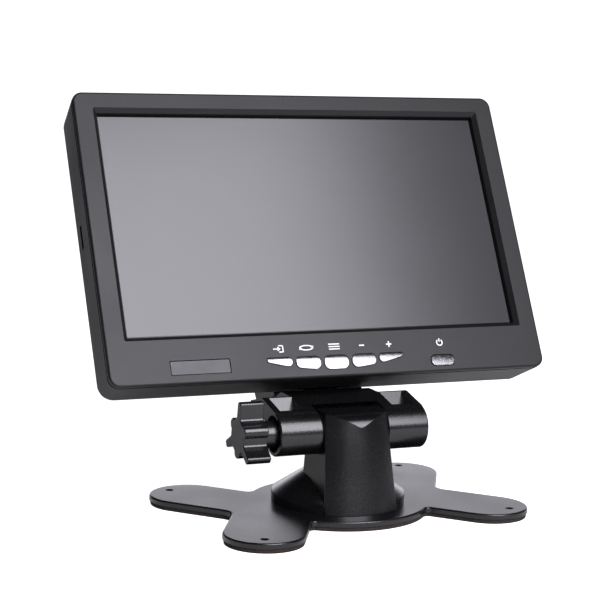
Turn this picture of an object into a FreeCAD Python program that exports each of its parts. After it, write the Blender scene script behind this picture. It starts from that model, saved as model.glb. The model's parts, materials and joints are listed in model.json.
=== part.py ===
"""Seven-inch dashboard monitor on a tilting, swivelling stand, as separate named pieces. Millimetres.

World frame: the origin is the centre of the foam pad's underside, +Z is up, the screen faces -Y.
The stand's column turns about Z. The yoke and the monitor tilt about the clamp bolt, whose axis
is the local X axis of the head frame. In the head frame x runs along the screen, y points away
from the viewer and z points up the screen.
"""
import FreeCAD, Part
import math
import os

V = FreeCAD.Vector

# ---- rest pose -------------------------------------------------------------------------------
SWIVEL_DEG = -6.67
TILT_DEG = 27.74
HINGE_Y = -7.15
HINGE_Z = 31.17

# ---- base ------------------------------------------------------------------------------------
PAD_T = 1.6
PLATE_T = 2.0
PLATE_TOP = PAD_T + PLATE_T
LOBE_X, LOBE_Y, LOBE_R = 46.4, 29.8, 14.4
ARM_DEG = 55.0
HUB_DISC_R = 33.0
SCREW_X, SCREW_Y, SCREW_HOLE_R = 50.5, 37.5, 1.5
DOME_R, DOME_TOP = 12.0, 7.6
RECESS_R, RECESS_TOP = 8.5, 5.2

# ---- column ----------------------------------------------------------------------------------
FOOT_R = 24.5
FOOT_GAP = 0.1
SKIRT_Z0, SKIRT_Z1, SKIRT_R1 = 7.3, 16.1, 11.2
FRONT_R0, FRONT_TAPER = 24.7, 0.186
SIDE_X0, SIDE_X1 = 14.0, 12.0
CORNER_R = 0.8
BROW_Z, BROW_R = 34.1, 5.6
KNUCKLE_R = 8.1
COLUMN_TOP = HINGE_Z + KNUCKLE_R
COLUMN_BACK = HINGE_Y + KNUCKLE_R
POST_R = 5.0
RUN_GAP = 0.05

# ---- clamp -----------------------------------------------------------------------------------
BOLT_R = 2.5
WASHER_IN, WASHER_OUT, EAR_IN = 12.35, 13.15, 13.2
EAR_OUT = 29.0
BARREL_R = 8.1
KNOB_FACE, KNOB_BACK = 42.6, 33.6
KNOB_HUB_R, WING_TIP_R, RIB_TIP_R = 6.4, 12.5, 8.2
WING_ROOT, WING_TIP, RIB_R = 2.1, 1.4, 2.3
WING_DEG = 124.0
KNOB_EDGE_R = 0.4
COLLAR_R, CUP_R, CUP_DEPTH = 4.9, 6.7, 3.6
NUT_FLATS, NUT_T = 8.0, 4.0

# ---- yoke ------------------------------------------------------------------------------------
ARM_RISE_DEG = TILT_DEG
NECK_X = 17.6
CHEEK_T = 2.5
FLOOR_BACK, FLOOR_TOP, FLOOR_T = 22.5, 8.1, 2.6
CREST_Y, CREST_Z = 10.8, 10.8

# ---- monitor ---------------------------------------------------------------------------------
WIDE, TALL = 173.2, 113.9
FRONT_Y = -0.71
BOTTOM_Z = 20.03
MID_Z = BOTTOM_Z + TALL / 2
LCD_Z = 82.16
OPEN_W, OPEN_H, BEVEL = 158.7, 90.9, 1.6
FACE_T = 2.0
LIP_Y = 1.0
COVER_Y0, COVER_Y1 = 1.8, 19.4
COVER_DRAFT = 0.8
WALL = 2.0
GLASS_Y = 2.55
MODULE_W, MODULE_H = 158.0, 95.0
SCREW_BOSS_X = 81.6
SCREW_SEAT = COVER_Y1 - 3.8
CABLE_X, CABLE_Z = 52.0, 40.0
SPEAKER_X, SPEAKER_Z = -48.0, 78.0
BOARD_Y = 8.9
BOARD_T = 1.4
BOARD_BACK = BOARD_Y + BOARD_T

# ---- upright behind the monitor ----------------------------------------------------------------
BLOCK_X = 18.0
BLOCK_Y0 = COVER_Y1 + 0.5
BLOCK_Y1 = BLOCK_Y0 + 19.0
BLOCK_Z0, BLOCK_Z1 = 20.0, 62.0
TONGUE_Y0, TONGUE_Y1 = COVER_Y1 - 4.6, COVER_Y1 - 2.4
TONGUE_TOP = 56.0
TRACK_X, TRACK_Z1 = 13.5, 60.5

# ---- buttons ---------------------------------------------------------------------------------
KEY_PITCH, KEY_W = 11.1, 10.1
KEY_MID_X = 0.1
KEY_TOP = BOTTOM_Z + 8.3
KEY_SMILE_R = 100.0
KEY_SMILE_Z = BOTTOM_Z + 2.6
POWER_X, POWER_Z, POWER_W, POWER_H = 43.4, BOTTOM_Z + 4.3, 10.0, 4.6
KEY_GAP = 0.34
KEY_PROUD = 0.3
KEY_CROWN_DEG = 13.0
KEY_TRAVEL = 0.6
FLANGE_Y0, FLANGE_Y1 = 1.45, 2.1
FLANGE_Z0 = BOTTOM_Z + 2.35
IR_X, IR_Z, IR_W, IR_H = -52.5, BOTTOM_Z + 6.0, 22.8, 5.5

KEY_NAMES = ["button_input", "button_source", "button_menu", "button_minus", "button_plus"]


# ---- helpers ---------------------------------------------------------------------------------
def box(x0, x1, y0, y1, z0, z1):
    return Part.makeBox(x1 - x0, y1 - y0, z1 - z0, V(x0, y0, z0))


def rod(r, start, end):
    """A cylinder of radius r between two points."""
    a, b = V(*start), V(*end)
    return Part.makeCylinder(r, (b - a).Length, a, b - a)


def tube(r_in, r_out, start, end):
    return rod(r_out, start, end).cut(rod(r_in, start, end))


def cone(r0, r1, z0, z1):
    return Part.makeCone(r0, r1, z1 - z0, V(0, 0, z0), V(0, 0, 1))


def prism(points, direction):
    """The closed polygon through points, pushed along direction."""
    wire = Part.makePolygon([V(*p) for p in points + points[:1]])
    return Part.Face(wire).extrude(V(*direction))


def fuse(*shapes):
    out = shapes[0].multiFuse(list(shapes[1:]))
    return out.removeSplitter()


def edges_along(shape, axis, keep=lambda mid: True):
    """Straight edges parallel to an axis whose middle passes keep."""
    out = []
    for edge in shape.Edges:
        if len(edge.Vertexes) != 2:
            continue
        a, b = edge.Vertexes[0].Point, edge.Vertexes[1].Point
        d = b - a
        if d.Length < 1e-6 or abs(abs(d.dot(V(*axis))) - d.Length) > 1e-5 * d.Length:
            continue
        if keep((a + b) * 0.5):
            out.append(edge)
    return out


def edges_at(shape, axis, level):
    """Every edge that lies in the plane axis = level."""
    out = []
    for edge in shape.Edges:
        b = edge.BoundBox
        low, high = {"x": (b.XMin, b.XMax), "y": (b.YMin, b.YMax), "z": (b.ZMin, b.ZMax)}[axis]
        if abs(low - level) < 1e-3 and abs(high - level) < 1e-3:
            out.append(edge)
    return out


def round_rect(w, h, r, y, mid_x=0.0, mid_z=0.0):
    """A rounded rectangle's wire in the plane y = constant."""
    x, z = w / 2, h / 2
    s = r * (1 - math.sqrt(0.5))
    run = [((-x + r, -z), (x - r, -z)), ((x, -z + r), (x, z - r)),
           ((x - r, z), (-x + r, z)), ((-x, z - r), (-x, -z + r))]
    bend = [(x - s, -z + s), (x - s, z - s), (-x + s, z - s), (-x + s, -z + s)]

    def at(p):
        return V(p[0] + mid_x, y, p[1] + mid_z)

    edges = []
    for i in range(4):
        edges.append(Part.LineSegment(at(run[i][0]), at(run[i][1])).toShape())
        nxt = run[(i + 1) % 4][0]
        edges.append(Part.Arc(at(run[i][1]), at(bend[i]), at(nxt)).toShape())
    return Part.Wire(edges)


def round_slab(w, h, r, y0, y1, mid_x=0.0, mid_z=0.0):
    face = Part.Face(round_rect(w, h, r, y0, mid_x, mid_z))
    return face.extrude(V(0, y1 - y0, 0))


def taper_slab(w0, h0, r0, y0, w1, h1, r1, y1, mid_z=0.0):
    return Part.makeLoft([round_rect(w0, h0, r0, y0, 0, mid_z),
                          round_rect(w1, h1, r1, y1, 0, mid_z)], True, True)


def swivelled(shape):
    """From the column's own frame to the world."""
    out = shape.copy()
    out.rotate(V(0, 0, 0), V(0, 0, 1), SWIVEL_DEG)
    return out


def tilted(shape):
    """From the head frame to the world."""
    out = shape.copy()
    out.rotate(V(0, 0, 0), V(1, 0, 0), -TILT_DEG)
    out.translate(V(0, HINGE_Y, HINGE_Z))
    return swivelled(out)


def raised(shape):
    """From the yoke's arm, drawn level, to the head frame."""
    out = shape.copy()
    out.rotate(V(0, 0, 0), V(1, 0, 0), ARM_RISE_DEG)
    return out


# ---- base ------------------------------------------------------------------------------------
def lobe_arm(x_sign, y_sign, shrink):
    """One of the plate's four arms: a strip towards the centre, ended by a round lobe."""
    c, s = math.cos(math.radians(ARM_DEG)), math.sin(math.radians(ARM_DEG))
    r = LOBE_R - shrink
    reach = 36.0
    corners = [(LOBE_X - s * r, LOBE_Y + c * r), (LOBE_X + s * r, LOBE_Y - c * r)]
    corners += [(x - c * reach, y - s * reach) for x, y in reversed(corners)]
    points = [(x_sign * x, y_sign * y, 0) for x, y in corners]
    strip = prism(points, (0, 0, 1))
    lobe = Part.makeCylinder(r, 1, V(x_sign * LOBE_X, y_sign * LOBE_Y, 0))
    return strip.fuse(lobe)


def butterfly(shrink, z0, z1, notch_r, waist_r):
    """The plate's outline, four lobes about a disc, between two heights."""
    blank = Part.makeCylinder(HUB_DISC_R - shrink, 1)
    for x_sign in (-1, 1):
        for y_sign in (-1, 1):
            blank = blank.fuse(lobe_arm(x_sign, y_sign, shrink))
    blank = blank.removeSplitter()
    notch = edges_along(blank, (0, 0, 1), lambda m: abs(m.y) < 1)
    blank = blank.makeFillet(notch_r, notch)
    waist = edges_along(blank, (0, 0, 1), lambda m: abs(m.x) < 30 and abs(m.y) > 15)
    blank = blank.makeFillet(waist_r, waist)
    flat = [f for f in blank.Faces if f.Surface.TypeId == "Part::GeomPlane"]
    face = min(flat, key=lambda f: f.CenterOfMass.z).copy()
    face.translate(V(0, 0, z0))
    return face.extrude(V(0, 0, z1 - z0))


def screw_spots():
    return [(x, y) for x in (-SCREW_X, SCREW_X) for y in (-SCREW_Y, SCREW_Y)]


def make_base_plate():
    plate = butterfly(0.0, PAD_T, PLATE_TOP, 6.0, 2.0)
    plate = plate.makeFillet(0.6, edges_at(plate, "z", PLATE_TOP))
    plate = plate.fuse(rod(DOME_R, (0, 0, PAD_T), (0, 0, DOME_TOP)))
    plate = plate.cut(rod(RECESS_R, (0, 0, 0), (0, 0, RECESS_TOP)))
    plate = plate.cut(rod(POST_R + RUN_GAP, (0, 0, 0), (0, 0, DOME_TOP + 1)))
    for x, y in screw_spots():
        plate = plate.cut(rod(SCREW_HOLE_R, (x, y, 0), (x, y, PLATE_TOP + 1)))
    return plate


def make_foam_pad():
    pad = butterfly(0.5, 0.0, PAD_T, 6.0, 2.0)
    pad = pad.cut(rod(RECESS_R + 0.5, (0, 0, -1), (0, 0, PAD_T + 1)))
    for x, y in screw_spots():
        pad = pad.cut(rod(SCREW_HOLE_R, (x, y, -1), (x, y, PAD_T + 1)))
    return pad


def make_swivel_ring():
    return tube(POST_R + 0.2, 9.0, (0, 0, DOME_TOP), (0, 0, DOME_TOP + 0.5))


# ---- column ----------------------------------------------------------------------------------
def front_radius(z):
    return FRONT_R0 - (z - SKIRT_Z0) * FRONT_TAPER


def side_x(z):
    return SIDE_X0 - (z - SKIRT_Z0) * (SIDE_X0 - SIDE_X1) / (COLUMN_TOP - SKIRT_Z0)


def above_brow(over):
    """What the rounded brow leaves free over the column's front: it rolls back from the cone at
    BROW_Z, so that its line on the cone is a V, and runs level with the bolt to the knuckle."""
    lean = math.atan(FRONT_TAPER)
    start = V(-over, -front_radius(BROW_Z), BROW_Z)
    middle = start + V(0, BROW_R * math.cos(lean), -BROW_R * math.sin(lean))
    top = V(-over, HINGE_Y, COLUMN_TOP)
    reach = math.hypot(top.y - middle.y, top.z - middle.z)
    touch = math.atan2(top.z - middle.z, top.y - middle.y) + math.acos(BROW_R / reach)

    def on_brow(angle):
        return middle + V(0, BROW_R * math.cos(angle), BROW_R * math.sin(angle))

    half_way = (touch + math.pi - lean) / 2
    high = V(0, 0, 2 * over)
    ends = [top, top + high, V(-over, -2 * over, BROW_Z) + high, V(-over, -2 * over, BROW_Z), start]
    edges = [Part.LineSegment(a, b).toShape() for a, b in zip(ends, ends[1:])]
    edges.append(Part.Arc(start, on_brow(half_way), on_brow(touch)).toShape())
    edges.append(Part.LineSegment(on_brow(touch), top).toShape())
    return Part.Face(Part.Wire(edges)).extrude(V(2 * over, 0, 0))


def column_body():
    """A cone's front, two drafted flat sides, a flat back and the knuckle on top."""
    z0, z1 = PLATE_TOP + FOOT_GAP, COLUMN_TOP + 1
    front = cone(front_radius(z0), front_radius(z1), z0, z1)
    ends = [(-side_x(z0), z0), (side_x(z0), z0), (side_x(z1), z1), (-side_x(z1), z1)]
    slab = prism([(x, -40, z) for x, z in ends], (0, 40 + COLUMN_BACK, 0))
    body = front.common(slab)
    front_corners = [e for e in body.Edges if e.BoundBox.ZLength > 20 and e.BoundBox.YMax < -5]
    body = body.makeFillet(CORNER_R, front_corners)
    over = 20.0
    body = body.cut(above_brow(over))
    crown = box(-over, over, HINGE_Y, HINGE_Y + over, HINGE_Z, HINGE_Z + over)
    crown = crown.cut(rod(KNUCKLE_R, (-over - 1, HINGE_Y, HINGE_Z), (over + 1, HINGE_Y, HINGE_Z)))
    body = body.cut(crown)
    return body.cut(box(-over, over, -40, HINGE_Y, COLUMN_TOP, COLUMN_TOP + over))


def foot_shell():
    """The round foot: a low ring under a conical skirt, hollow inside."""
    z0 = PLATE_TOP + FOOT_GAP
    outside = fuse(rod(FOOT_R, (0, 0, z0), (0, 0, SKIRT_Z0)), cone(FOOT_R, SKIRT_R1, SKIRT_Z0, SKIRT_Z1))
    outside = outside.makeFillet(0.6, edges_at(outside, "z", SKIRT_Z0))
    wall = 2.2
    inside = fuse(rod(FOOT_R - wall, (0, 0, z0 - 1), (0, 0, 6.2)),
                  cone(FOOT_R - wall, 9.6, 6.2, 13.6))
    return outside, inside


def make_stem():
    outside, inside = foot_shell()
    body = column_body()
    foot = outside.cut(inside)
    core = rod(10.0, (0, 0, DOME_TOP + 0.55), (0, 0, SKIRT_Z1))
    stem = fuse(foot, body.cut(inside), core.common(outside))
    stem = stem.cut(rod(DOME_R + 0.4, (0, 0, 0), (0, 0, DOME_TOP + 0.55)))
    stem = stem.fuse(rod(POST_R, (0, 0, RECESS_TOP - 0.05), (0, 0, DOME_TOP + 2)))
    stem = stem.cut(rod(1.6, (0, 0, 0), (0, 0, 15)))
    axis_from, axis_to = (-40, HINGE_Y, HINGE_Z), (40, HINGE_Y, HINGE_Z)
    stem = stem.cut(rod(BOLT_R + 0.08, axis_from, axis_to))
    for side in (-1, 1):
        seat = rod(7.2, (side * (WASHER_IN - RUN_GAP), HINGE_Y, HINGE_Z), (side * 20, HINGE_Y, HINGE_Z))
        stem = stem.cut(seat)
    return stem.removeSplitter()


def make_swivel_screw():
    head = rod(3.9, (0, 0, 2.1), (0, 0, 4.15))
    cross = box(-2.2, 2.2, -0.5, 0.5, 0, 3.1).fuse(box(-0.5, 0.5, -2.2, 2.2, 0, 3.1))
    return fuse(head.cut(cross), rod(1.55, (0, 0, 4.0), (0, 0, 13.5)))


def make_swivel_washer():
    return tube(1.7, 7.6, (0, 0, 4.15), (0, 0, RECESS_TOP - 0.05))


# ---- clamp -----------------------------------------------------------------------------------
def knob_wing(angle_deg):
    """A tapering blade from the knob's axis out to the wing's tip."""
    outline = [(0, -WING_ROOT), (WING_TIP_R, -WING_TIP), (WING_TIP_R, WING_TIP), (0, WING_ROOT)]
    wing = prism([(-KNOB_FACE, y, z) for y, z in outline], (KNOB_FACE - KNOB_BACK, 0, 0))
    wing = wing.makeFillet(0.7 * WING_TIP, edges_along(wing, (1, 0, 0), lambda m: m.y > WING_TIP_R - 0.1))
    wing.rotate(V(0, 0, 0), V(1, 0, 0), angle_deg)
    return wing


def knob_rib(angle_deg):
    """A low round rib on the hub, midway between two wings."""
    a = math.radians(angle_deg)
    reach = RIB_TIP_R - RIB_R
    y, z = reach * math.cos(a), reach * math.sin(a)
    rib = rod(RIB_R, (-KNOB_FACE, y, z), (-KNOB_BACK, y, z))
    return rib.makeFillet(KNOB_EDGE_R, edges_at(rib, "x", -KNOB_FACE) + edges_at(rib, "x", -KNOB_BACK))


def make_star_knob():
    """Three wings and three low ribs about a hub, with a collar that presses the thrust washer."""
    grip = rod(KNOB_HUB_R, (-KNOB_FACE, 0, 0), (-KNOB_BACK, 0, 0))
    for i in range(3):
        grip = grip.fuse(knob_wing(WING_DEG + 120 * i))
    grip = grip.removeSplitter()
    roots = edges_along(grip, (1, 0, 0), lambda m: abs(math.hypot(m.y, m.z) - KNOB_HUB_R) < 0.05)
    grip = grip.makeFillet(1.3, roots)
    grip = grip.makeFillet(KNOB_EDGE_R, edges_at(grip, "x", -KNOB_FACE) + edges_at(grip, "x", -KNOB_BACK))
    ribs = [knob_rib(WING_DEG + 60 + 120 * i) for i in range(3)]
    collar = rod(COLLAR_R, (-KNOB_BACK - 1, 0, 0), (-EAR_OUT + CUP_DEPTH - 1.05, 0, 0))
    knob = fuse(grip, collar, *ribs)
    return knob.cut(rod(BOLT_R, (-KNOB_BACK - 5, 0, 0), (0, 0, 0)))


def make_hinge_bolt():
    return rod(BOLT_R, (-KNOB_BACK - 5, 0, 0), (EAR_OUT - 1.5, 0, 0))


def make_thrust_washer():
    floor = -EAR_OUT + CUP_DEPTH
    return tube(BOLT_R + 0.08, 6.2, (floor - 1.0, 0, 0), (floor - 0.02, 0, 0))


def hexagon(flats, x0, x1):
    r = flats / math.sqrt(3)
    points = [(x0, r * math.cos(math.pi * i / 3), r * math.sin(math.pi * i / 3)) for i in range(6)]
    return prism(points, (x1 - x0, 0, 0))


def make_hinge_nut():
    nut = hexagon(NUT_FLATS, EAR_OUT - 0.6 - NUT_T, EAR_OUT - 0.6)
    return nut.cut(rod(BOLT_R + 0.05, (0, 0, 0), (40, 0, 0)))


def make_friction_washer(side):
    return tube(BOLT_R + 0.08, 6.8, (side * WASHER_IN, 0, 0), (side * WASHER_OUT, 0, 0))


# ---- yoke ------------------------------------------------------------------------------------
def cheek(x0, x1):
    """A gusset on the arm: its sloping front runs from the barrel up to the crest."""
    points = [(x0, -2.2, 7.75), (x0, CREST_Y, CREST_Z), (x0, CREST_Y + 1.5, CREST_Z),
              (x0, FLOOR_BACK, FLOOR_TOP), (x0, FLOOR_BACK, FLOOR_TOP - FLOOR_T), (x0, 0, 3)]
    return prism(points, (x1 - x0, 0, 0))


def web_outline():
    """The web between the cheeks: it rises from the barrel's back to the crest, parallel to the screen."""
    low = FLOOR_TOP - FLOOR_T - 2.3
    lean = math.tan(math.radians(ARM_RISE_DEG))
    foot = CREST_Y - (CREST_Z - low) * lean
    return [(foot, low), (CREST_Y, CREST_Z), (CREST_Y + 1.5, CREST_Z), (CREST_Y + 1.5, FLOOR_TOP - FLOOR_T),
            (foot + 2.7, low)]


def ear(side):
    """Barrel, web, floor and both cheeks of one side, drawn with the arm level."""
    inner, outer = side * EAR_IN, side * EAR_OUT
    low, high = min(inner, outer), max(inner, outer)
    barrel = rod(BARREL_R, (low, 0, 0), (high, 0, 0))
    barrel = barrel.makeFillet(0.6, edges_at(barrel, "x", outer))
    rear_floor = box(low, high, CREST_Y, FLOOR_BACK, FLOOR_TOP - FLOOR_T, FLOOR_TOP)
    web = prism([(low, y, z) for y, z in web_outline()], (high - low, 0, 0))
    outer_cheek = cheek(min(outer, outer - side * CHEEK_T), max(outer, outer - side * CHEEK_T))
    inner_cheek = cheek(min(inner, side * NECK_X), max(inner, side * NECK_X))
    return fuse(barrel, rear_floor, web, outer_cheek, inner_cheek)


def level(y, z):
    """A point of the head frame, as the arm that is drawn level has it."""
    c, s = math.cos(math.radians(ARM_RISE_DEG)), math.sin(math.radians(ARM_RISE_DEG))
    return c * y + s * z, c * z - s * y


def neck():
    """The bridge over the column's knuckle, from one ear to the other and back to the block."""
    under = KNUCKLE_R + 0.6
    below = BLOCK_Z0 - 0.6
    front, heel = level(BLOCK_Y0, below), level(BLOCK_Y1 - 5.0, BLOCK_Z0)
    ramp = level(BLOCK_Y0 - 5.5, below)
    side = [(4.1, 8.95), (CREST_Y, CREST_Z), (ramp[0] - 1.5, CREST_Z), ramp, front,
            (front[0] + 2.5, front[1] + 1.5), heel, (heel[0] - 4.5, heel[1] - 1.5),
            (10.0, 5.2), (8.6, under)]
    return prism([(-NECK_X, y, z) for y, z in side], (2 * NECK_X, 0, 0))


def block():
    """The upright behind the monitor, hollow at the back, in the head frame."""
    side = [(BLOCK_Y0, BLOCK_Z0), (BLOCK_Y1 - 3.5, BLOCK_Z0), (BLOCK_Y1 - 1.0, 23.0), (BLOCK_Y1, 27.0),
            (BLOCK_Y1 - 6, 52.0), (BLOCK_Y0 + 4.0, BLOCK_Z1), (BLOCK_Y0, BLOCK_Z1)]
    solid = prism([(-BLOCK_X, y, z) for y, z in side], (2 * BLOCK_X, 0, 0))
    solid = solid.makeFillet(1.2, edges_along(solid, (1, 0, 0), lambda m: m.y > BLOCK_Y0 + 1))
    wall = 2.4
    inner_x = BLOCK_X - wall
    hollow = box(-inner_x, inner_x, BLOCK_Y0 + 3.0, BLOCK_Y1 + 1, BLOCK_Z0 + 3.0, BLOCK_Z1 - 6)
    for x in (-5.5, 5.5):
        hollow = hollow.cut(box(x - 0.9, x + 0.9, 0, BLOCK_Y1 - 8, BLOCK_Z0, BLOCK_Z1))
    return solid.cut(hollow)


def tongue(gap=0.0):
    """The T-shaped tongue on the block's front; a gap gives the track that it slides in."""
    back = BLOCK_Y0 if gap == 0 else COVER_Y1 + 1
    top = TONGUE_TOP + (0.8 if gap else 0.0)
    bottom = BLOCK_Z0 + 4 if gap == 0 else BOTTOM_Z - 5
    flange = box(-10.5 - gap, 10.5 + gap, TONGUE_Y0 - gap, TONGUE_Y1 + gap, bottom, top)
    web = box(-6.5 - gap, 6.5 + gap, TONGUE_Y1 - 0.2, back, bottom, top)
    return fuse(flange, web)


def make_yoke():
    arms = raised(fuse(ear(-1), ear(1), neck()))
    body = fuse(arms, block(), tongue())
    body = body.cut(rod(BOLT_R + 0.08, (-40, 0, 0), (40, 0, 0)))
    body = body.cut(rod(CUP_R, (-EAR_OUT - 1, 0, 0), (-EAR_OUT + CUP_DEPTH, 0, 0)))
    body = body.cut(hexagon(NUT_FLATS + 0.1, EAR_OUT - 0.6 - NUT_T, EAR_OUT + 1))
    return body.removeSplitter()


# ---- buttons ---------------------------------------------------------------------------------
def smile_z(x):
    """Height of the arc that the five buttons' lower edges follow."""
    return KEY_SMILE_Z + KEY_SMILE_R - math.sqrt(KEY_SMILE_R ** 2 - x ** 2)


def key_outline(index, inset, y0, y1):
    """A button's outline: flat top, curved bottom, rounded ends. inset is the gap on every side."""
    mid = KEY_MID_X + (index - 2) * KEY_PITCH
    x0, x1 = mid - KEY_W / 2 + inset, mid + KEY_W / 2 - inset
    top = KEY_TOP - inset
    z0, zm, z1 = (smile_z(x) + inset for x in (x0, mid, x1))
    edges = [Part.LineSegment(V(x0, y0, top), V(x1, y0, top)).toShape(),
             Part.LineSegment(V(x1, y0, top), V(x1, y0, z1)).toShape(),
             Part.Arc(V(x1, y0, z1), V(mid, y0, zm), V(x0, y0, z0)).toShape(),
             Part.LineSegment(V(x0, y0, z0), V(x0, y0, top)).toShape()]
    slab = Part.Face(Part.Wire(edges)).extrude(V(0, y1 - y0, 0))
    for x, z in ((x0, z0), (x1, z1)):
        radius = min(0.44 * (top - z), 2.3)
        near = edges_along(slab, (0, 1, 0), lambda m: abs(m.x - x) < 0.05)
        slab = slab.makeFillet(radius, near)
    return slab


def power_outline(inset, y0, y1):
    return round_slab(POWER_W - 2 * inset, POWER_H - 2 * inset, 1.9 - inset * 0.5, y0, y1, POWER_X, POWER_Z)


def key_shape(index, inset, y0, y1):
    return power_outline(inset, y0, y1) if index == 5 else key_outline(index, inset, y0, y1)


def make_button(index):
    front = FRONT_Y - KEY_PROUD
    cap = key_shape(index, KEY_GAP, front, FLANGE_Y0 + 0.05)
    size = cap.BoundBox
    mid_z = (size.ZMin + size.ZMax) / 2
    crown_r = size.ZLength / 2 / math.sin(math.radians(KEY_CROWN_DEG))
    drum_y = front + crown_r
    cap = cap.common(rod(crown_r, (size.XMin - 1, drum_y, mid_z), (size.XMax + 1, drum_y, mid_z)))
    flange = key_shape(index, -0.35, FLANGE_Y0, FLANGE_Y1)
    flange = flange.cut(box(-WIDE, WIDE, 0, 5, BOTTOM_Z, FLANGE_Z0))
    return fuse(cap, flange)


# ---- monitor ---------------------------------------------------------------------------------
def boss_spots():
    return [(x, z) for x in (-SCREW_BOSS_X, SCREW_BOSS_X) for z in (BOTTOM_Z + 8.0, BOTTOM_Z + TALL - 8.0)]


def make_front_bezel():
    face = round_slab(WIDE, TALL, 4.0, FRONT_Y, LIP_Y, 0, MID_Z)
    face = face.makeFillet(0.9, edges_at(face, "y", FRONT_Y))
    step = round_slab(WIDE - 1.8, TALL - 1.8, 3.1, LIP_Y, FRONT_Y + FACE_T, 0, MID_Z)
    rim = round_slab(WIDE - 4.4, TALL - 4.4, 2.2, LIP_Y, 4.2, 0, MID_Z)
    rim = rim.cut(round_slab(WIDE - 6.6, TALL - 6.6, 1.4, LIP_Y - 1, 5, 0, MID_Z))
    rim = rim.cut(box(-66, 52, FRONT_Y + FACE_T, 5, BOTTOM_Z, BOTTOM_Z + 5))
    rib = round_slab(OPEN_W + 1.0, OPEN_H + 1.0, 1.0, LIP_Y, GLASS_Y - 0.05, 0, LCD_Z)
    bezel = fuse(face, step, rim, rib)
    inner_w, inner_h = OPEN_W - 2 * BEVEL, OPEN_H - 2 * BEVEL
    bevel = taper_slab(OPEN_W, OPEN_H, 0.8, FRONT_Y, inner_w, inner_h, 0.4, FRONT_Y + BEVEL, LCD_Z)
    bezel = bezel.cut(bevel)
    bezel = bezel.cut(round_slab(inner_w, inner_h, 0.4, -5, 6, 0, LCD_Z))
    for index in range(6):
        bezel = bezel.cut(key_shape(index, 0.0, -5, 4))
    bezel = bezel.cut(round_slab(IR_W, IR_H, 0.5, -5, 4, IR_X, IR_Z))
    for x, z in boss_spots():
        post = rod(2.2, (x, FRONT_Y + FACE_T - 0.5, z), (x, SCREW_SEAT - 2.2, z))
        post = post.cut(rod(1.0, (x, SCREW_SEAT - 8.2, z), (x, SCREW_SEAT, z)))
        bezel = bezel.fuse(post)
    return bezel.removeSplitter()


def cover_shell():
    w1, h1 = WIDE - 2 * COVER_DRAFT, TALL - 2 * COVER_DRAFT
    outside = taper_slab(WIDE, TALL, 4.0, COVER_Y0, w1, h1, 6.0, COVER_Y1, MID_Z)
    outside = outside.makeFillet(2.2, edges_at(outside, "y", COVER_Y1))
    inside = taper_slab(WIDE - 2 * WALL, TALL - 2 * WALL, 2.2, COVER_Y0 - 0.01,
                        w1 - 2 * WALL, h1 - 2 * WALL, 4.0, COVER_Y1 - WALL, MID_Z)
    return outside, inside


def vent_slots():
    slots = []
    for side in (-1, 1):
        for i in range(9):
            x = side * (26 + i * 5.0)
            slots.append(round_slab(2.0, 16.0, 0.99, COVER_Y1 - 4, COVER_Y1 + 2, x, 112.0))
    return slots


def speaker_holes():
    holes = []
    for ring, count in ((0.0, 1), (4.0, 6), (8.0, 12)):
        for i in range(count):
            a = 2 * math.pi * i / count
            x, z = SPEAKER_X + ring * math.cos(a), SPEAKER_Z + ring * math.sin(a)
            holes.append(rod(0.9, (x, COVER_Y1 - 4, z), (x, COVER_Y1 + 1, z)))
    return holes


def make_rear_cover():
    outside, inside = cover_shell()
    cover = outside.cut(inside)
    track_box = box(-TRACK_X, TRACK_X, TONGUE_Y0 - 2.1, COVER_Y1 - 1, BOTTOM_Z + 1, TRACK_Z1)
    cover = cover.fuse(track_box).cut(tongue(0.25))
    ring_from, ring_to = (SPEAKER_X, COVER_Y1 - 6, SPEAKER_Z), (SPEAKER_X, COVER_Y1 - 1, SPEAKER_Z)
    speaker_ring = tube(14.2, 15.4, ring_from, ring_to)
    cover = cover.fuse(speaker_ring)
    for x, z in boss_spots():
        cover = cover.fuse(rod(3.9, (x, SCREW_SEAT - 2.1, z), (x, COVER_Y1 - 1, z)).common(outside))
        cover = cover.cut(rod(1.45, (x, SCREW_SEAT - 3, z), (x, COVER_Y1 + 1, z)))
        cover = cover.cut(rod(2.5, (x, SCREW_SEAT, z), (x, COVER_Y1 + 1, z)))
    cutters = vent_slots() + speaker_holes()
    cutters.append(rod(4.6, (CABLE_X, COVER_Y1 - 4, CABLE_Z), (CABLE_X, COVER_Y1 + 1, CABLE_Z)))
    cutters.append(round_slab(50, 20, 1.5, COVER_Y1 - 0.3, COVER_Y1 + 1, 0, 92))
    side_slot = box(-WIDE, -WIDE / 2 + WALL + 2, 10.3, 12.7, 76.5, 85.5)
    cutters.append(side_slot)
    return cover.cut(Part.makeCompound(cutters)).removeSplitter()


def make_cable_grommet():
    def ring(r, y0, y1):
        return rod(r, (CABLE_X, y0, CABLE_Z), (CABLE_X, y1, CABLE_Z))

    inside = COVER_Y1 - WALL - 0.05
    lip = COVER_Y1 + 2.2
    body = ring(6.2, COVER_Y1, lip)
    body = body.makeFillet(0.9, edges_at(body, "y", lip))
    grommet = fuse(body, ring(4.55, inside, COVER_Y1), ring(6.0, inside - 1.55, inside))
    return grommet.cut(ring(2.5, inside - 5, lip + 5))


def make_lcd_glass():
    return round_slab(MODULE_W, MODULE_H, 0.3, GLASS_Y, GLASS_Y + 1.3, 0, LCD_Z)


def make_light_guide():
    return round_slab(MODULE_W - 3, MODULE_H - 7, 0.3, GLASS_Y + 1.4, GLASS_Y + 3.6, 0, LCD_Z + 2)


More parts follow.
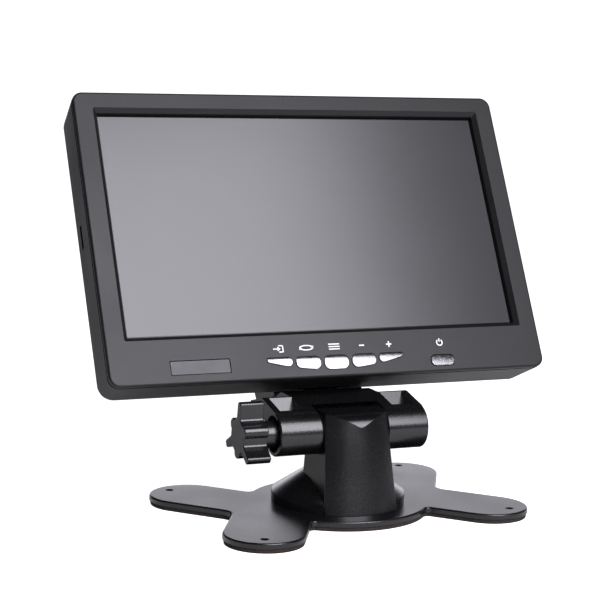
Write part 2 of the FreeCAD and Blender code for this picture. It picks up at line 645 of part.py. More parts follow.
def make_lcd_frame():
    """The folded steel tray behind the glass, open at the front, with the board's standoffs."""
    y0, y1 = GLASS_Y + 1.35, GLASS_Y + 4.6
    tray = round_slab(MODULE_W, MODULE_H, 0.5, y0, y1, 0, LCD_Z)
    tray = tray.cut(round_slab(MODULE_W - 1.6, MODULE_H - 1.6, 0.3, y0 - 1, y1 - 0.6, 0, LCD_Z))
    for x, z in board_corners():
        tray = tray.fuse(tube(1.0, 2.2, (x, y1 - 0.3, z), (x, BOARD_Y, z)))
    return tray


def make_backlight_strip():
    z0 = LCD_Z - MODULE_H / 2 + 1.2
    strip = box(-75, 75, GLASS_Y + 1.6, GLASS_Y + 3.4, z0, z0 + 0.8)
    top = z0 + 0.8
    leds = [box(x - 1.7, x + 1.7, GLASS_Y + 1.9, GLASS_Y + 3.1, top, top + 1.1) for x in range(-70, 71, 10)]
    return fuse(strip, *leds)


def board_corners():
    return [(x, z) for x in (23.0, 71.0) for z in (52.0, 98.0)]


def make_main_board():
    board = round_slab(56, 54, 1.0, BOARD_Y, BOARD_BACK, 47, 75)
    for x, z in board_corners():
        board = board.cut(rod(1.3, (x, BOARD_Y - 1, z), (x, BOARD_BACK + 1, z)))
    return board


def make_board_chips():
    """Each flat chip is x0, x1, z0, z1 and its height; then three round capacitors."""
    flat = [(38, 52, 68, 82, 1.4), (56, 62, 74, 79, 1.1), (28, 33, 84, 91, 1.3), (44, 58, 50, 54.5, 2.4),
            (30, 42, 56, 60, 2.1)]
    chips = [box(x0, x1, BOARD_BACK, BOARD_BACK + high, z0, z1) for x0, x1, z0, z1, high in flat]
    for x, z in ((64, 88), (64, 66), (34, 96)):
        chips.append(rod(2.0, (x, BOARD_BACK, z), (x, BOARD_BACK + 2.5, z)))
    return Part.makeCompound(chips)


def screw(x, z, seat, head_r, head_t, shank_r, length):
    """A pan-head screw along -y, with a cross recess, its head's underside at y = seat."""
    head = rod(head_r, (x, seat, z), (x, seat + head_t, z))
    slot = 0.35
    reach = head_r * 0.6
    deep, top = seat + head_t * 0.45, seat + head_t + 1
    cross = box(x - reach, x + reach, deep, top, z - slot, z + slot)
    cross = cross.fuse(box(x - slot, x + slot, deep, top, z - reach, z + reach))
    return fuse(head.cut(cross), rod(shank_r, (x, seat - length, z), (x, seat + 0.1, z)))


def make_board_screws():
    return Part.makeCompound([screw(x, z, BOARD_BACK, 1.9, 1.2, 1.0, 2.8) for x, z in board_corners()])


def make_cover_screws():
    return Part.makeCompound([screw(x, z, SCREW_SEAT, 2.2, 1.6, 0.95, 7.5) for x, z in boss_spots()])


def make_key_board():
    return round_slab(122, 9.6, 0.6, 5.0, 6.2, -6, BOTTOM_Z + 8.0)


def key_centre(index):
    if index == 5:
        return POWER_X, POWER_Z
    x = KEY_MID_X + (index - 2) * KEY_PITCH
    return x, (KEY_TOP + smile_z(x)) / 2


def make_tact_switches():
    parts = []
    for index in range(6):
        x, z = key_centre(index)
        base = box(x - 3.0, x + 3.0, 3.7, 5.0, max(z - 1.75, BOTTOM_Z + 3.5), z + 1.75)
        tip = FLANGE_Y1 + KEY_TRAVEL + 0.05
        parts.append(fuse(base, rod(0.8, (x, tip, z), (x, 3.8, z))))
    return Part.makeCompound(parts)


def make_ir_window():
    window = round_slab(IR_W - 0.6, IR_H - 0.6, 0.35, FRONT_Y + 0.15, 1.5, IR_X, IR_Z)
    flange = round_slab(IR_W + 1.0, IR_H + 1.0, 0.6, 1.4, 2.2, IR_X, IR_Z)
    return fuse(window, flange)


def make_ir_receiver():
    body = box(IR_X - 2.8, IR_X + 2.8, 3.6, 5.0, BOTTOM_Z + 4.5, BOTTOM_Z + 10.5)
    return fuse(body, rod(1.9, (IR_X, 2.6, BOTTOM_Z + 7.5), (IR_X, 3.7, BOTTOM_Z + 7.5)))


def make_speaker():
    """A small round speaker against the inside of the rear cover, facing backwards."""
    def frustum(r0, r1, y0, high):
        return Part.makeCone(r0, r1, high, V(SPEAKER_X, y0, SPEAKER_Z), V(0, 1, 0))

    back = COVER_Y1 - WALL - 0.2
    rim = frustum(14.0, 14.0 - 0.01, back - 1.4, 1.4)
    basket = frustum(9.0, 13.0, back - 3.4, 2.0)
    magnet = rod(7.5, (SPEAKER_X, back - 4.6, SPEAKER_Z), (SPEAKER_X, back - 3.2, SPEAKER_Z))
    return fuse(rim, basket, magnet).cut(frustum(4.0, 11.5, back - 1.1, 1.2))


def make_display_ribbon():
    """Flat flexible cable from the display's lower back edge up to the main board."""
    y = GLASS_Y + 4.75
    return fuse(box(26, 40, y, y + 0.25, 44, 63), box(26, 40, y, BOARD_Y, 62.75, 63))


# ---- every node ------------------------------------------------------------------------------
def build():
    parts = {
        "base_plate": make_base_plate(),
        "foam_pad": make_foam_pad(),
        "swivel_ring": make_swivel_ring(),
        "stem": swivelled(make_stem()),
        "swivel_screw": swivelled(make_swivel_screw()),
        "swivel_washer": swivelled(make_swivel_washer()),
        "yoke": tilted(make_yoke()),
        "hinge_nut": tilted(make_hinge_nut()),
        "left_friction_washer": tilted(make_friction_washer(-1)),
        "right_friction_washer": tilted(make_friction_washer(1)),
        "thrust_washer": tilted(make_thrust_washer()),
        "star_knob": tilted(make_star_knob()),
        "hinge_bolt": tilted(make_hinge_bolt()),
        "front_bezel": tilted(make_front_bezel()),
        "rear_cover": tilted(make_rear_cover()),
        "cable_grommet": tilted(make_cable_grommet()),
        "lcd_glass": tilted(make_lcd_glass()),
        "light_guide": tilted(make_light_guide()),
        "lcd_frame": tilted(make_lcd_frame()),
        "backlight_strip": tilted(make_backlight_strip()),
        "display_ribbon": tilted(make_display_ribbon()),
        "main_board": tilted(make_main_board()),
        "board_chips": tilted(make_board_chips()),
        "board_screws": tilted(make_board_screws()),
        "cover_screws": tilted(make_cover_screws()),
        "key_board": tilted(make_key_board()),
        "tact_switches": tilted(make_tact_switches()),
        "ir_window": tilted(make_ir_window()),
        "ir_receiver": tilted(make_ir_receiver()),
        "speaker": tilted(make_speaker()),
    }
    for index, name in enumerate(KEY_NAMES + ["button_power"]):
        parts[name] = tilted(make_button(index))
    return parts


os.makedirs("parts", exist_ok=True)
for node, shape in build().items():
    print(node, len(shape.Solids), round(shape.Volume, 1), shape.isValid())
    shape.exportStep("parts/" + node + ".step")
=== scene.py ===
"""The looks of a seven-inch dashboard monitor on a tilting, swivelling stand.

Lengths are metres. The head frame's x runs along the screen, y points away from the viewer and z up
the screen; its origin is the clamp bolt's middle. Sizes given in the head frame are millimetres.
"""
import json
import math

import bmesh
import bpy
import mathutils
from mathutils import Matrix, Vector


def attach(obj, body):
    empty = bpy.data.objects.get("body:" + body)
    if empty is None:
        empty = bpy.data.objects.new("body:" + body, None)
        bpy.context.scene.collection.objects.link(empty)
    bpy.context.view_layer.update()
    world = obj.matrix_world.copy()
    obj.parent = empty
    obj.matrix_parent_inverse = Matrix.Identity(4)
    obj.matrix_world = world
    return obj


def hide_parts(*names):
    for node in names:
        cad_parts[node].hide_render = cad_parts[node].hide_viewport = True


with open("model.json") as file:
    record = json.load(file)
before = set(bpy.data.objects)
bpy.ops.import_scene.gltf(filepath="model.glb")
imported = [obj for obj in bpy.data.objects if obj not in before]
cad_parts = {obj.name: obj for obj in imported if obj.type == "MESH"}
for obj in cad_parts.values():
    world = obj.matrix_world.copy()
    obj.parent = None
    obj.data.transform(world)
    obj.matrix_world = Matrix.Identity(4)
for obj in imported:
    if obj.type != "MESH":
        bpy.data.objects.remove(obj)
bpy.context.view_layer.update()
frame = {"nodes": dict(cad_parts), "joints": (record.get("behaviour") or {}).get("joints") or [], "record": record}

nodes = frame["nodes"]
joints = {joint["name"]: joint for joint in frame["joints"]}
MM = 0.001

HINGE = Vector(joints["tilt"]["pos_m"])
HEAD_X = -Vector(joints["tilt"]["axis"]).normalized()
HEAD_Y = Vector(joints["press_menu"]["axis"]).normalized()
HEAD_Z = Vector(joints["monitor_lift"]["axis"]).normalized()
HEAD = Matrix.Translation(HINGE) @ Matrix((HEAD_X, HEAD_Y, HEAD_Z)).transposed().to_4x4()
TO_HEAD = HEAD.inverted()


def head(x, y, z):
    """A point of the head frame, in millimetres, as a place in the world."""
    return HEAD @ Vector((x * MM, y * MM, z * MM))


def head_box(node):
    """Lowest and highest corner of a CAD node in the head frame, in millimetres."""
    points = [TO_HEAD @ v.co / MM for v in nodes[node].data.vertices]
    low = [min(p[i] for p in points) for i in range(3)]
    high = [max(p[i] for p in points) for i in range(3)]
    return Vector(low), Vector(high)


# ---- materials -------------------------------------------------------------------------------
class Paint:
    """A material under construction: a Principled shader, object coordinates, short node calls."""

    def __init__(self, name, **settings):
        self.material = bpy.data.materials.new(name)
        self.material.use_nodes = True
        self.tree = self.material.node_tree
        self.shader = self.tree.nodes["Principled BSDF"]
        for socket, value in settings.items():
            self.shader.inputs[socket.replace("_", " ")].default_value = value
        self.place = self.node("ShaderNodeTexCoord").outputs["Object"]
        self.relief = None

    def node(self, kind, **settings):
        made = self.tree.nodes.new(kind)
        for key, value in settings.items():
            setattr(made, key, value)
        return made

    def link(self, source, target):
        self.tree.links.new(source, target)

    def in_head(self):
        """Coordinates in the head frame, in metres."""
        turn = self.node("ShaderNodeMapping", vector_type="TEXTURE")
        turn.inputs["Location"].default_value = HEAD.to_translation()
        turn.inputs["Rotation"].default_value = HEAD.to_euler()
        self.link(self.place, turn.inputs["Vector"])
        return turn.outputs["Vector"]

    def noise(self, size, detail=2.0, rough=0.5, where=None):
        """Noise with features of about size metres."""
        made = self.node("ShaderNodeTexNoise")
        made.inputs["Scale"].default_value = 1 / size
        made.inputs["Detail"].default_value = detail
        made.inputs["Roughness"].default_value = rough
        self.link(where or self.place, made.inputs["Vector"])
        return made.outputs["Fac"]

    def cells(self, size, feature="F1", where=None):
        made = self.node("ShaderNodeTexVoronoi", feature=feature)
        made.inputs["Scale"].default_value = 1 / size
        self.link(where or self.place, made.inputs["Vector"])
        return made.outputs["Distance"]

    def spread(self, value, low, high, start=0.3, end=0.7):
        """Maps a value from start..end to low..high."""
        made = self.node("ShaderNodeMapRange")
        made.inputs["From Min"].default_value = start
        made.inputs["From Max"].default_value = end
        made.inputs["To Min"].default_value = low
        made.inputs["To Max"].default_value = high
        self.link(value, made.inputs["Value"])
        return made.outputs["Result"]

    def shade(self, value, dark, light, start=0.3, end=0.7):
        """A colour between dark and light, led by value."""
        made = self.node("ShaderNodeValToRGB")
        made.color_ramp.elements[0].position = start
        made.color_ramp.elements[0].color = (*dark, 1)
        made.color_ramp.elements[1].position = end
        made.color_ramp.elements[1].color = (*light, 1)
        self.link(value, made.inputs["Fac"])
        return made.outputs["Color"]

    def math(self, operation, a, b=None):
        made = self.node("ShaderNodeMath", operation=operation)
        for index, value in enumerate((a, b)):
            if value is None:
                continue
            if isinstance(value, (int, float)):
                made.inputs[index].default_value = value
            else:
                self.link(value, made.inputs[index])
        return made.outputs["Value"]

    def colour(self, source):
        self.link(source, self.shader.inputs["Base Color"])

    def roughness(self, source):
        self.link(source, self.shader.inputs["Roughness"])

    def bump(self, height, depth, strength=1.0):
        """Adds relief of depth metres over what is there."""
        made = self.node("ShaderNodeBump")
        made.inputs["Distance"].default_value = depth
        made.inputs["Strength"].default_value = strength
        self.link(height, made.inputs["Height"])
        if self.relief:
            self.link(self.relief, made.inputs["Normal"])
        self.relief = made.outputs["Normal"]
        self.link(self.relief, self.shader.inputs["Normal"])


def moulded(name, dark, light, rough, grain, depth, gloss=0.5):
    """Black mouldings, plastic or rubber, with a spark-eroded grain and faint flow marks."""
    paint = Paint(name)
    paint.shader.inputs["Specular IOR Level"].default_value = gloss
    flow = paint.noise(0.035, 3.0)
    fine = paint.noise(grain, 2.0, 0.6)
    pits = paint.cells(grain * 1.7, "SMOOTH_F1")
    paint.colour(paint.shade(flow, dark, light))
    worn = paint.spread(flow, rough - 0.035, rough + 0.035)
    paint.roughness(paint.math("ADD", worn, paint.spread(fine, -0.04, 0.04)))
    paint.bump(fine, depth)
    paint.bump(pits, depth * 0.6)
    return paint.material


def foam():
    """Closed-cell foam tape: dark brown-black with small cells."""
    paint = Paint("foam_cells")
    paint.shader.inputs["Specular IOR Level"].default_value = 0.25
    cells = paint.cells(0.00045, "F1")
    patches = paint.noise(0.004, 3.0)
    paint.colour(paint.shade(cells, (0.050, 0.038, 0.031), (0.020, 0.016, 0.014), 0.1, 0.7))
    paint.roughness(paint.spread(patches, 0.82, 0.96))
    paint.bump(cells, 0.00012)
    paint.bump(patches, 0.0002, 0.4)
    return paint.material


def steel(name, tone, rough):
    """Plated steel with fine turning marks and a little tarnish."""
    paint = Paint(name, Metallic=1.0)
    marks = paint.noise(0.0004, 4.0, 0.7)
    tarnish = paint.noise(0.003, 3.0)
    dark = tuple(c * 0.8 for c in tone)
    paint.colour(paint.shade(tarnish, dark, tone))
    worn = paint.spread(tarnish, rough, rough + 0.1)
    paint.roughness(paint.math("ADD", worn, paint.spread(marks, -0.05, 0.05)))
    paint.bump(marks, 0.00001)
    return paint.material


def lacquer():
    """Smooth silver lacquer with fine metal flakes."""
    paint = Paint("silver_lacquer", Metallic=0.9)
    flakes = paint.cells(0.00012)
    cloud = paint.noise(0.002, 2.0)
    paint.colour(paint.shade(flakes, (0.29, 0.29, 0.295), (0.18, 0.182, 0.188), 0.2, 0.8))
    paint.roughness(paint.spread(cloud, 0.11, 0.17))
    paint.bump(flakes, 0.000003)
    return paint.material


def nylon(name, tone, rough=0.45):
    """Satin plastic, faintly clouded."""
    paint = Paint(name)
    cloud = paint.noise(0.003, 3.0)
    fine = paint.noise(0.0004, 2.0)
    paint.colour(paint.shade(cloud, tuple(c * 0.88 for c in tone), tone))
    paint.roughness(paint.spread(fine, rough - 0.06, rough + 0.06))
    paint.bump(fine, 0.00002)
    return paint.material


# The sockets of a Mix node set to colours: the two inputs and the output.
MIX_A, MIX_B, MIXED = 6, 7, 2


def board():
    """Green solder mask over wandering copper tracks, with drilled vias."""
    paint = Paint("solder_mask")
    where = paint.in_head()
    split = paint.node("ShaderNodeSeparateXYZ")
    paint.link(where, split.inputs["Vector"])
    wobble = paint.noise(0.012, 0.0, where=where)
    pitch = 0.0016
    straight = paint.math("MULTIPLY", split.outputs["X"], 1 / pitch)
    lane = paint.math("ADD", straight, paint.math("MULTIPLY", wobble, 6))
    wave = paint.math("SINE", paint.math("MULTIPLY", lane, math.tau))
    track = paint.math("GREATER_THAN", wave, 0.1)
    vias = paint.math("LESS_THAN", paint.cells(0.004, where=where), 0.11)
    mask = paint.shade(track, (0.010, 0.085, 0.030), (0.020, 0.150, 0.055), 0.4, 0.6)
    mix = paint.node("ShaderNodeMix", data_type="RGBA")
    paint.link(vias, mix.inputs["Factor"])
    paint.link(mask, mix.inputs[MIX_A])
    mix.inputs[MIX_B].default_value = (0.55, 0.50, 0.40, 1)
    paint.colour(mix.outputs[MIXED])
    paint.roughness(paint.spread(wobble, 0.28, 0.42))
    paint.bump(track, 0.00003)
    return paint.material


def epoxy():
    """The matt black of moulded chips and of printed lines."""
    paint = Paint("moulded_epoxy")
    fine = paint.noise(0.0002, 3.0, 0.7)
    paint.colour(paint.shade(fine, (0.016, 0.016, 0.018), (0.034, 0.034, 0.036)))
    paint.roughness(paint.spread(fine, 0.5, 0.68))
    paint.bump(fine, 0.00002)
    return paint.material


def smoke():
    """Infrared-clear window: near-black, satin, with faint ripples."""
    paint = Paint("smoked_window")
    ripple = paint.noise(0.004, 1.0)
    paint.colour(paint.shade(ripple, (0.011, 0.010, 0.012), (0.017, 0.015, 0.018)))
    paint.roughness(paint.spread(ripple, 0.36, 0.42))
    paint.bump(ripple, 0.00002)
    return paint.material


def acrylic():
    """Pale light guide strewn with printed dots."""
    paint = Paint("printed_acrylic")
    where = paint.in_head()
    dots = paint.cells(0.0012, where=where)
    paint.colour(paint.shade(dots, (0.93, 0.94, 0.94), (0.74, 0.78, 0.80), 0.25, 0.35))
    paint.roughness(paint.spread(dots, 0.5, 0.15, 0.25, 0.35))
    paint.bump(dots, 0.00002)
    return paint.material


def polyimide():
    """Amber film with copper tracks along it."""
    paint = Paint("polyimide_film")
    split = paint.node("ShaderNodeSeparateXYZ")
    paint.link(paint.in_head(), split.inputs["Vector"])
    lanes = paint.math("SINE", paint.math("MULTIPLY", split.outputs["X"], math.tau / 0.0008))
    paint.colour(paint.shade(lanes, (0.34, 0.15, 0.03), (0.62, 0.36, 0.12), 0.4, 0.6))
    paint.roughness(paint.spread(lanes, 0.28, 0.4, 0.0, 1.0))
    paint.bump(lanes, 0.00002)
    return paint.material


def polariser(name, dark, light, rough, gloss=0.5):
    """The display's dark glass or its anti-glare film, with a very fine sparkle."""
    paint = Paint(name, Specular_IOR_Level=gloss)
    fine = paint.noise(0.00015, 1.0)
    cloud = paint.noise(0.05, 2.0)
    paint.colour(paint.shade(cloud, dark, light))
    paint.roughness(paint.spread(fine, rough - 0.02, rough + 0.02))
    paint.bump(fine, 0.000002)
    return paint.material


def ink():
    paint = Paint("white_ink")
    fine = paint.noise(0.0002, 2.0)
    paint.colour(paint.shade(fine, (0.80, 0.80, 0.80), (0.93, 0.93, 0.93)))
    paint.roughness(paint.spread(fine, 0.45, 0.6))
    return paint.material


def felt():
    paint = Paint("speaker_felt", Sheen_Weight=0.3)
    weave = paint.cells(0.0006)
    paint.colour(paint.shade(weave, (0.010, 0.010, 0.010), (0.030, 0.030, 0.030)))
    paint.roughness(paint.spread(weave, 0.8, 0.95))
    paint.bump(weave, 0.00015)
    return paint.material


MATERIALS = {
    "black_abs": moulded("stand_abs", (0.004, 0.004, 0.0045), (0.006, 0.006, 0.0065),
                         rough=0.25, grain=0.0004, depth=0.0000012, gloss=0.70),
    "plate_abs": moulded("plate_abs", (0.004, 0.004, 0.0045), (0.006, 0.006, 0.0065),
                         rough=0.29, grain=0.0004, depth=0.000001, gloss=0.62),
    "bezel_abs": moulded("housing_abs", (0.008, 0.008, 0.0085), (0.011, 0.011, 0.0115),
                         rough=0.44, grain=0.0003, depth=0.00002, gloss=0.36),
    "foam": foam(),
    "nylon": nylon("natural_nylon", (0.72, 0.71, 0.67)),
    "black_nylon": nylon("black_nylon", (0.020, 0.020, 0.021)),
    "steel": steel("zinc_plate", (0.62, 0.62, 0.61), 0.28),
    "dark_steel": steel("black_zinc", (0.06, 0.06, 0.065), 0.32),
    "rubber": moulded("grommet_rubber", (0.012, 0.012, 0.012), (0.020, 0.020, 0.020),
                      rough=0.68, grain=0.0005, depth=0.00002),
    "screen": polariser("display_glass", (0.002, 0.002, 0.002), (0.003, 0.003, 0.003),
                        rough=0.14, gloss=0.22),
    "acrylic": acrylic(),
    "ribbon": polyimide(),
    "board": board(),
    "chip": epoxy(),
    "smoke": smoke(),
    "key_silver": lacquer(),
}

# Nodes with a finish of their own, and how squarely a key's face looks forward to be silver.
FINISH = {"base_plate": "plate_abs"}
KEY_FRONT = 0.9


def dress_nodes():
    """Gives every CAD node its finish or its slot's material. Keys are silver only in front."""
    for row in frame["record"]["subparts"]:
        mesh = nodes[row["node"]].data
        mesh.materials.clear()
        mesh.materials.append(MATERIALS[FINISH.get(row["node"], row["material_slot"])])
        if row["material_slot"] != "key_silver":
            continue
        mesh.materials.append(MATERIALS["black_abs"])
        for face in mesh.polygons:
            face.material_index = 0 if -face.normal.dot(HEAD_Y) > KEY_FRONT else 1


# ---- pieces ----------------------------------------------------------------------------------
def piece(name, mesh, material, body):
    """A new object of that mesh, riding on the body."""
    made = bpy.data.objects.new(name, mesh)
    bpy.context.scene.collection.objects.link(made)
    mesh.materials.append(material)
    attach(made, body)
    return made


def plate_mesh(name, outlines, front, back):
    """Flat plates from y = front to back, with outlines as (x, z) loops in the head frame."""
    build = bmesh.new()
    for loop in outlines:
        near = [build.verts.new(head(x, front, z)) for x, z in loop]
        far = [build.verts.new(head(x, back, z)) for x, z in loop]
        build.faces.new(near)
        build.faces.new(reversed(far))
        for i, a in enumerate(near):
            j = (i + 1) % len(near)
            build.faces.new((a, far[i], far[j], near[j]))
    bmesh.ops.recalc_face_normals(build, faces=build.faces)
    mesh = bpy.data.meshes.new(name)
    build.to_mesh(mesh)
    build.free()
    return mesh


def bar(x0, x1, z0, z1):
    return [(x0, z0), (x1, z0), (x1, z1), (x0, z1)]


def stroke(points, width):
    """A line of that width along points, as one outline with square ends."""
    left, right = [], []
    for i, (x, z) in enumerate(points):
        x0, z0 = points[max(i - 1, 0)]
        x1, z1 = points[min(i + 1, len(points) - 1)]
        size = math.hypot(x1 - x0, z1 - z0)
        side_x, side_z = -(z1 - z0) / size * width / 2, (x1 - x0) / size * width / 2
        left.append((x + side_x, z + side_z))
        right.append((x - side_x, z - side_z))
    return left + right[::-1]


def oval(x, z, rx, rz, start, end, steps=20):
    """Points of an ellipse's arc, angles in degrees."""
    out = []
    for i in range(steps + 1):
        a = math.radians(start + (end - start) * i / steps)
        out.append((x + rx * math.cos(a), z + rz * math.sin(a)))
    return out


def rounded(x0, x1, z0, z1, r):
    """A rectangle's outline with rounded corners."""
    corners = [(x1 - r, z0 + r), (x1 - r, z1 - r), (x0 + r, z1 - r), (x0 + r, z0 + r)]
    out = []
    for (x, z), start in zip(corners, (-90, 0, 90, 180)):
        out += oval(x, z, r, r, start, start + 90, steps=6)
    return out


# The symbols' thickness and how deep they sink in, their lines' widths, and their middle's height
# over the bezel's lower edge.
INK, SUNK = 0.03, 0.02
LINE, BOLD = 0.42, 0.5
MARK_RISE = 11.45
INK_WHITE = ink()


def printed(name, button, outlines):
    """A white symbol over a button, its outlines drawn from the symbol's middle."""
    face = head_box("front_bezel")[0]
    key_low, key_high = head_box(button)
    x, z = (key_low.x + key_high.x) / 2, face.z + MARK_RISE
    placed = [[(x + dx, z + dz) for dx, dz in loop] for loop in outlines]
    mesh = plate_mesh(name, placed, face.y - INK, face.y + SUNK)
    piece(name, mesh, INK_WHITE, "monitor")


def print_marks():
    """Generic symbols over the buttons: input, loop, menu, minus, plus and power."""
    arrow = [(-0.2, -0.95), (1.0, 0), (-0.2, 0.95)]
    door = [(0.3, -1.2), (1.9, -1.2), (1.9, 1.2), (0.3, 1.2)]
    sides = [stroke(door[i:i + 2], LINE) for i in range(3)]
    printed("mark_input", "button_input", [bar(-1.9, -0.2, -LINE / 2, LINE / 2), arrow] + sides)
    over = oval(0, 0, 2.6, 0.85, 200, 30)
    under = oval(0, 0, 2.6, 0.85, 20, -150)
    barbs = []
    for (x, z), turn in ((over[-1], 1), (under[-1], -1)):
        barb = ((-0.7, -0.1), (0.7, 0.3), (0.3, -0.9))
        barbs.append([(x + turn * dx, z + turn * dz) for dx, dz in barb])
    printed("mark_loop", "button_source", [stroke(over, LINE), stroke(under, LINE)] + barbs)
    rows = [bar(-2.2, 2.2, z - LINE / 2, z + LINE / 2) for z in (-0.95, 0, 0.95)]
    printed("mark_menu", "button_menu", rows)
    half = BOLD / 2
    printed("mark_minus", "button_minus", [bar(-1.0, 1.0, -half, half)])
    upright = [bar(-half, half, half, 1.1), bar(-half, half, -1.1, -half)]
    printed("mark_plus", "button_plus", [bar(-1.1, 1.1, -half, half)] + upright)
    ring = oval(0, -0.2, 1.15, 1.15, 125, 415)
    printed("mark_power", "button_power", [stroke(ring, LINE), bar(-LINE / 2, LINE / 2, 0.1, 1.4)])


# The lit area of a seven-inch wide panel, and the film's thickness and corners.
ACTIVE_W, ACTIVE_H = 154.08, 85.92
FILM, FILM_R = 0.04, 0.2


def lay_display_film():
    """The lit area's film on the glass, inside the black border."""
    low, high = head_box("lcd_glass")
    x, z = (low.x + high.x) / 2, (low.z + high.z) / 2
    w, h = ACTIVE_W / 2, ACTIVE_H / 2
    loop = rounded(x - w, x + w, z - h, z + h, FILM_R)
    mesh = plate_mesh("display_film", [loop], low.y - FILM, low.y + SUNK)
    film = polariser("display_film", (0.029, 0.030, 0.032), (0.033, 0.034, 0.036), rough=0.22)
    piece("display_film", mesh, film, "monitor")


# The foam edge's bulge and unevenness in millimetres, its layers, how many of the broad and the
# fine dents go to a metre, and the radius of the middle that is left as it is, in metres.
BULGE, RAGGED = 0.16, 0.12
FOAM_LAYERS = 4
DENTS, FINE_DENTS = 260, 900
HUB_R = 0.012


def lay_foam_pad():
    """The foam tape under the plate: its cut edge bulges a little and is uneven."""
    build = bmesh.new()
    build.from_mesh(nodes["foam_pad"].data)
    top = max(v.co.z for v in build.verts)
    for i in range(1, FOAM_LAYERS):
        whole = build.verts[:] + build.edges[:] + build.faces[:]
        level = (0, 0, top * i / FOAM_LAYERS)
        bmesh.ops.bisect_plane(build, geom=whole, dist=1e-7, plane_co=level, plane_no=(0, 0, 1))
    bmesh.ops.remove_doubles(build, verts=build.verts, dist=1e-6)
    build.normal_update()
    flat = 1e-5
    moves = []
    for v in build.verts:
        if not flat < v.co.z < top - flat or math.hypot(v.co.x, v.co.y) < HUB_R:
            continue
        swell = math.sin(math.pi * v.co.z / top)
        fine = mathutils.noise.noise(v.co * FINE_DENTS)
        uneven = fine * 0.5 + mathutils.noise.noise(v.co * DENTS)
        out = Vector((v.normal.x, v.normal.y, 0)).normalized()
        moves.append((v, out * (BULGE * swell + RAGGED * uneven) * MM))
    for v, step in moves:
        v.co += step
    mesh = bpy.data.meshes.new("foam_tape")
    build.to_mesh(mesh)
    build.free()
    made = piece("foam_tape", mesh, MATERIALS["foam"], "base")
    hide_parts("foam_pad")


# The label's size, height and corners, and how far below the cover's back it starts and ends; the
# same of its print, with the printed frame's margin, its line and where its middle line starts.
LABEL_W, LABEL_H, LABEL_Z, LABEL_R = 49.0, 19.0, 92.0, 1.2
LABEL_DEPTHS = (0.31, 0.17)
PRINT_DEPTHS = (0.18, 0.155)
LABEL_EDGE, LABEL_LINE, LABEL_MIDDLE = 1.6, 0.25, -0.12

# The speaker's middle, its cloth's radius, the cover's thickness and the cloth's depths inside it.
SPEAKER_X, SPEAKER_Z, CLOTH_R = -48.0, 78.0, 13.2
COVER_WALL = 2.0
CLOTH_DEPTHS = (0.18, 0.02)


def stick_rear_label():
    """A blank rating label in the recess of the rear cover, with a printed frame and no text."""
    back = head_box("rear_cover")[1].y
    x, z0, z1 = LABEL_W / 2, LABEL_Z - LABEL_H / 2, LABEL_Z + LABEL_H / 2
    near, far = (back - depth for depth in LABEL_DEPTHS)
    mesh = plate_mesh("rear_label", [rounded(-x, x, z0, z1, LABEL_R)], near, far)
    piece("rear_label", mesh, nylon("label_film", (0.62, 0.63, 0.64), 0.38), "monitor")
    x, z0, z1 = x - LABEL_EDGE, z0 + LABEL_EDGE, z1 - LABEL_EDGE
    lines = [bar(-x, x, z, z + LABEL_LINE) for z in (z0, LABEL_Z, z1 - LABEL_LINE)]
    lines += [bar(at, at + LABEL_LINE, z0, z1) for at in (-x, LABEL_MIDDLE, x - LABEL_LINE)]
    near, far = (back - depth for depth in PRINT_DEPTHS)
    mesh = plate_mesh("label_frame", lines, near, far)
    piece("label_frame", mesh, epoxy(), "monitor")


def lay_speaker_felt():
    """The dust cloth behind the speaker's holes, a disc of sixty points."""
    inside = head_box("rear_cover")[1].y - COVER_WALL
    loop = oval(SPEAKER_X, SPEAKER_Z, CLOTH_R, CLOTH_R, 0, 354, steps=59)
    near, far = (inside - depth for depth in CLOTH_DEPTHS)
    mesh = plate_mesh("speaker_cloth", [loop], near, far)
    piece("speaker_cloth", mesh, felt(), "monitor")


# ---- surroundings ----------------------------------------------------------------------------
# The light's colour, and the floor's radius and glow: in reflections, and to the camera.
TINT = (1.0, 0.987, 1.07)
FLOOR_R = 0.75
FLOOR_GLOW, FLOOR_GLOW_SEEN = 0.15, 1.0

# The lit wall: the way to its middle, where its sides and its top fade, and what is left above it.
# Last, the strength of the backdrop that the camera sees.
BACKWARDS = Vector((0.55, 0.835, 0.0))
WALL_SIDES = (0.74, 0.96)
WALL_TOP = (0.20, 0.36)
ABOVE_WALL = 0.10
BACKDROP = 1.2


def floor():
    """A white table. To the camera it glows until no shadow is left, in reflections much less."""
    build = bmesh.new()
    bmesh.ops.create_circle(build, cap_ends=True, segments=96, radius=FLOOR_R)
    mesh = bpy.data.meshes.new("floor")
    build.to_mesh(mesh)
    build.free()
    made = bpy.data.objects.new("floor", mesh)
    bpy.context.scene.collection.objects.link(made)
    paint = Paint("white_sweep", Base_Color=(0.80, 0.80, 0.80, 1), Roughness=0.8,
                  Emission_Color=(1, 1, 1, 1))
    seen = paint.node("ShaderNodeLightPath").outputs["Is Camera Ray"]
    glow = paint.spread(seen, FLOOR_GLOW, FLOOR_GLOW_SEEN, 0.0, 1.0)
    paint.link(glow, paint.shader.inputs["Emission Strength"])
    mesh.materials.append(paint.material)


def softbox(name, azimuth, elevation, distance, width, height, radiance, aim):
    """A rectangular area light. Azimuth 0 is in front of the object, positive to its right."""
    a, e = math.radians(azimuth), math.radians(elevation)
    towards = Vector((math.sin(a) * math.cos(e), -math.cos(a) * math.cos(e), math.sin(e)))
    light = bpy.data.lights.new(name, "AREA")
    light.shape = "RECTANGLE"
    light.size = width
    light.size_y = height
    light.energy = radiance * math.pi * width * height
    light.color = TINT
    made = bpy.data.objects.new(name, light)
    made.location = Vector(aim) + towards * distance
    made.rotation_euler = towards.to_track_quat("Z", "Y").to_euler()
    bpy.context.scene.collection.objects.link(made)


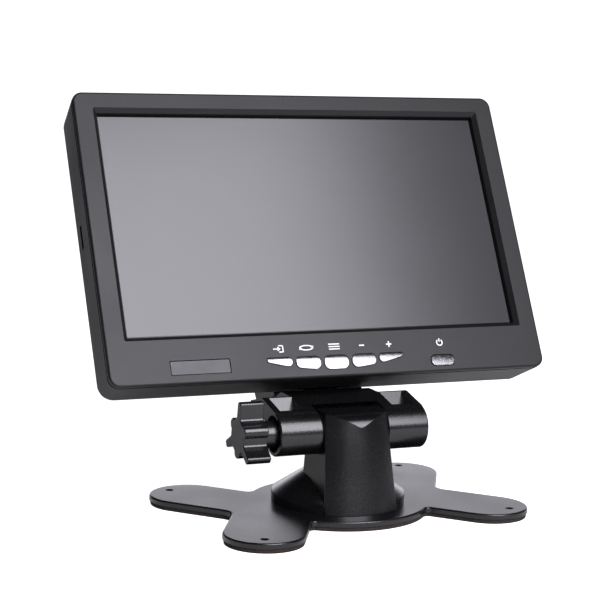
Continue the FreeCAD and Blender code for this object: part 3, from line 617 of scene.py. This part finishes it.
def surround(front, back):
    """A dark studio, lit by a low wall behind the object, before a white backdrop.

    The strengths in front of and behind the object are front and back.
    """
    world = bpy.data.worlds.new("studio")
    world.use_nodes = True
    tree = world.node_tree
    shade = tree.nodes["Background"]
    way = tree.nodes.new("ShaderNodeTexCoord").outputs["Generated"]

    def ramp(direction, span, low, high):
        """From low to high as a ray's part along direction goes through the span."""
        along = tree.nodes.new("ShaderNodeVectorMath")
        along.operation = "DOT_PRODUCT"
        along.inputs[1].default_value = direction
        tree.links.new(way, along.inputs[0])
        blend = tree.nodes.new("ShaderNodeMapRange")
        blend.interpolation_type = "SMOOTHSTEP"
        for socket, value in zip(("From Min", "From Max", "To Min", "To Max"), (*span, low, high)):
            blend.inputs[socket].default_value = value
        tree.links.new(along.outputs["Value"], blend.inputs["Value"])
        return blend.outputs["Result"]

    wall = tree.nodes.new("ShaderNodeMath")
    wall.operation = "MULTIPLY"
    tree.links.new(ramp(BACKWARDS, WALL_SIDES, front, back), wall.inputs[0])
    tree.links.new(ramp((0, 0, 1), WALL_TOP, 1.0, ABOVE_WALL), wall.inputs[1])
    tree.links.new(wall.outputs["Value"], shade.inputs["Strength"])
    shade.inputs["Color"].default_value = (*TINT, 1)
    backdrop = tree.nodes.new("ShaderNodeBackground")
    backdrop.inputs["Color"].default_value = (1, 1, 1, 1)
    backdrop.inputs["Strength"].default_value = BACKDROP
    either = tree.nodes.new("ShaderNodeMixShader")
    seen = tree.nodes.new("ShaderNodeLightPath").outputs["Is Camera Ray"]
    tree.links.new(seen, either.inputs[0])
    tree.links.new(shade.outputs[0], either.inputs[1])
    tree.links.new(backdrop.outputs[0], either.inputs[2])
    tree.links.new(either.outputs[0], tree.nodes["World Output"].inputs["Surface"])
    bpy.context.scene.world = world


# The camera's place in metres, its turns in radians, and its sensor and lens in millimetres.
CAMERA_AT = (-0.326149, -0.545142, 0.162735)
CAMERA_AZIMUTH, CAMERA_ELEVATION, CAMERA_ROLL = 0.5148058, 0.1339518, 0.0232909
SENSOR, LENS = 36.0, 106.10


def camera():
    """The photographer's place, to the left of the object's front, looking down a little."""
    data = bpy.data.cameras.new("camera")
    data.sensor_width = SENSOR
    data.lens = LENS
    data.clip_start = 0.02
    data.clip_end = 50.0
    made = bpy.data.objects.new("camera", data)
    bpy.context.scene.collection.objects.link(made)
    level = math.cos(CAMERA_ELEVATION)
    back = Vector((-math.sin(CAMERA_AZIMUTH) * level, -math.cos(CAMERA_AZIMUTH) * level,
                   math.sin(CAMERA_ELEVATION)))
    right = Vector((0, 0, 1)).cross(back).normalized()
    up = back.cross(right)
    c, s = math.cos(CAMERA_ROLL), math.sin(CAMERA_ROLL)
    pose = Matrix((c * right + s * up, c * up - s * right, back)).transposed().to_4x4()
    made.matrix_world = Matrix.Translation(CAMERA_AT) @ pose
    bpy.context.scene.camera = made


dress_nodes()
print_marks()
lay_display_film()
lay_foam_pad()
stick_rear_label()
lay_speaker_felt()
floor()
surround(front=0.05, back=1.9)
softbox("front_box", azimuth=4, elevation=36, distance=1.0, width=0.70, height=0.80,
        radiance=9.0, aim=(0, 0, 0.09))
bpy.context.scene.view_settings.view_transform = "Standard"
camera()
